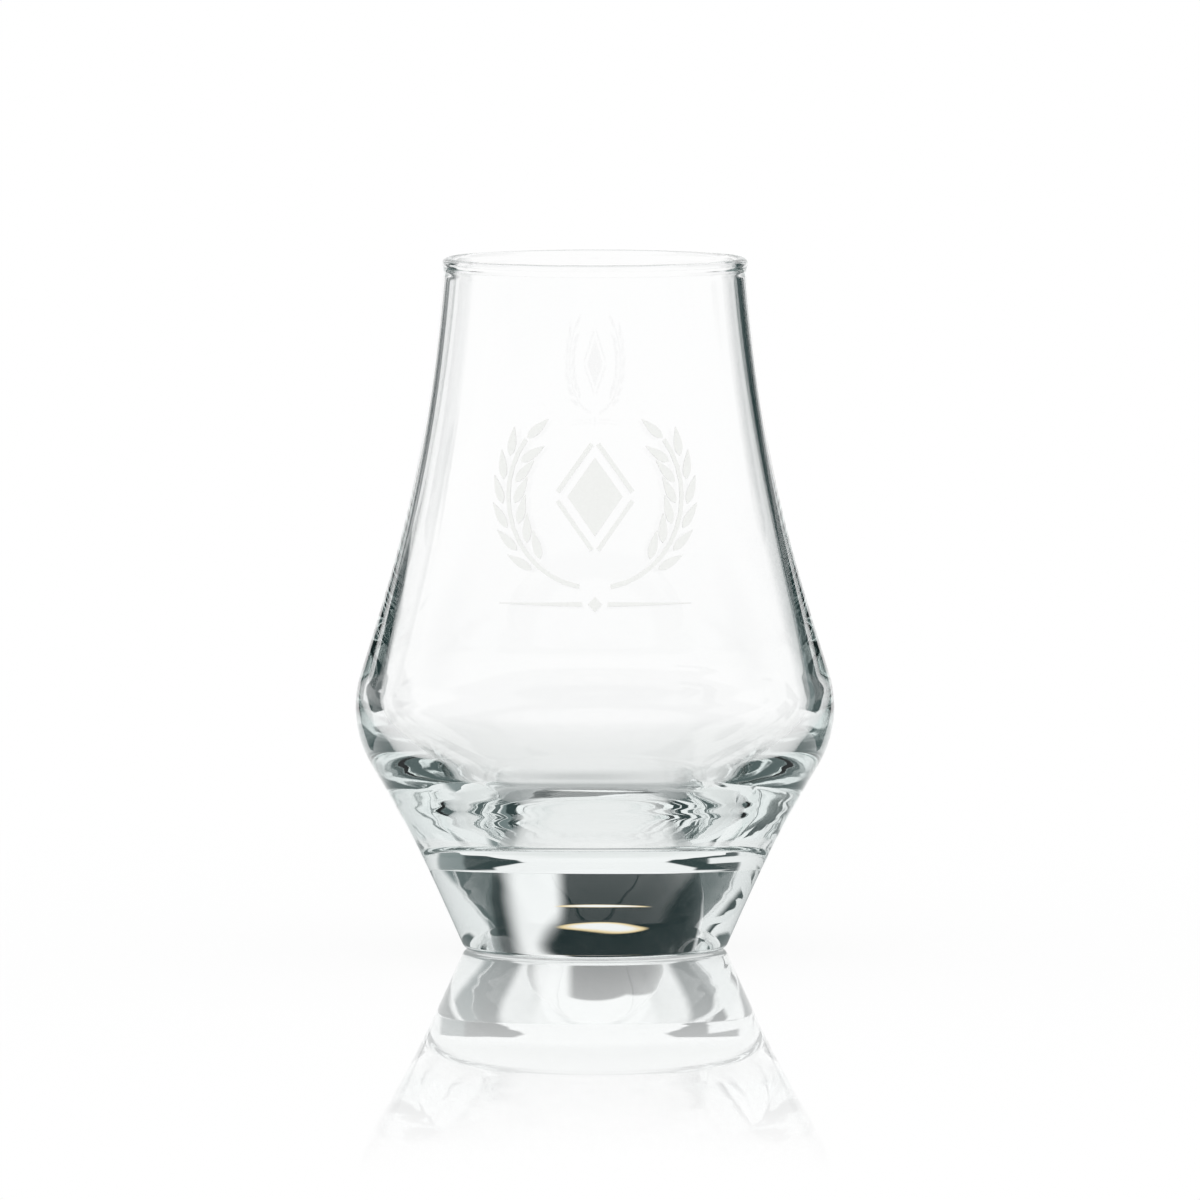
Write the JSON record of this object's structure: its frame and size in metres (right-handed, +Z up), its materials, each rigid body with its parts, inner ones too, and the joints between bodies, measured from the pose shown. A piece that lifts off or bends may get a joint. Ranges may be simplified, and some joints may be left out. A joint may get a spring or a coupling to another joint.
{
  "type": "whisky glass",
  "caption": "Clear nosing glass for whisky with a low wide shoulder, a wall drawn in to the mouth, a heavy conical base and a pale enamel wreath on the front.",
  "frame": {"origin": "centre of the standing ring, on the table under the axis of the glass", "axes": "+Z up the axis of the glass to its mouth, -Y to the front with the print"},
  "size_m": [0.0726, 0.0726, 0.105],
  "materials": {
    "clear_glass": "fire polished, clear with a faint grey-green tint",
    "pale_enamel": "fired screen-print enamel, pale and satin"
  },
  "bodies": {
    "root": {"glass_body": "clear_glass", "left_ear_inner_grain_1": "pale_enamel", "left_ear_inner_grain_2": "pale_enamel", "left_ear_inner_grain_3": "pale_enamel", "left_ear_inner_grain_4": "pale_enamel", "left_ear_inner_grain_5": "pale_enamel", "left_ear_inner_grain_6": "pale_enamel", "left_ear_outer_grain_1": "pale_enamel", "left_ear_outer_grain_2": "pale_enamel", "left_ear_outer_grain_3": "pale_enamel", "left_ear_outer_grain_4": "pale_enamel", "left_ear_outer_grain_5": "pale_enamel", "left_ear_outer_grain_6": "pale_enamel", "left_ear_stem": "pale_enamel", "left_ear_tip_grain": "pale_enamel", "lozenge_bar_lower_left": "pale_enamel", "lozenge_bar_lower_right": "pale_enamel", "lozenge_bar_upper_left": "pale_enamel", "lozenge_bar_upper_right": "pale_enamel", "lozenge_core": "pale_enamel", "right_ear_inner_grain_1": "pale_enamel", "right_ear_inner_grain_2": "pale_enamel", "right_ear_inner_grain_3": "pale_enamel", "right_ear_inner_grain_4": "pale_enamel", "right_ear_inner_grain_5": "pale_enamel", "right_ear_inner_grain_6": "pale_enamel", "right_ear_outer_grain_1": "pale_enamel", "right_ear_outer_grain_2": "pale_enamel", "right_ear_outer_grain_3": "pale_enamel", "right_ear_outer_grain_4": "pale_enamel", "right_ear_outer_grain_5": "pale_enamel", "right_ear_outer_grain_6": "pale_enamel", "right_ear_stem": "pale_enamel", "right_ear_tip_grain": "pale_enamel", "rule_diamond": "pale_enamel", "rule_left": "pale_enamel", "rule_right": "pale_enamel"}
  },
  "joints": []
}
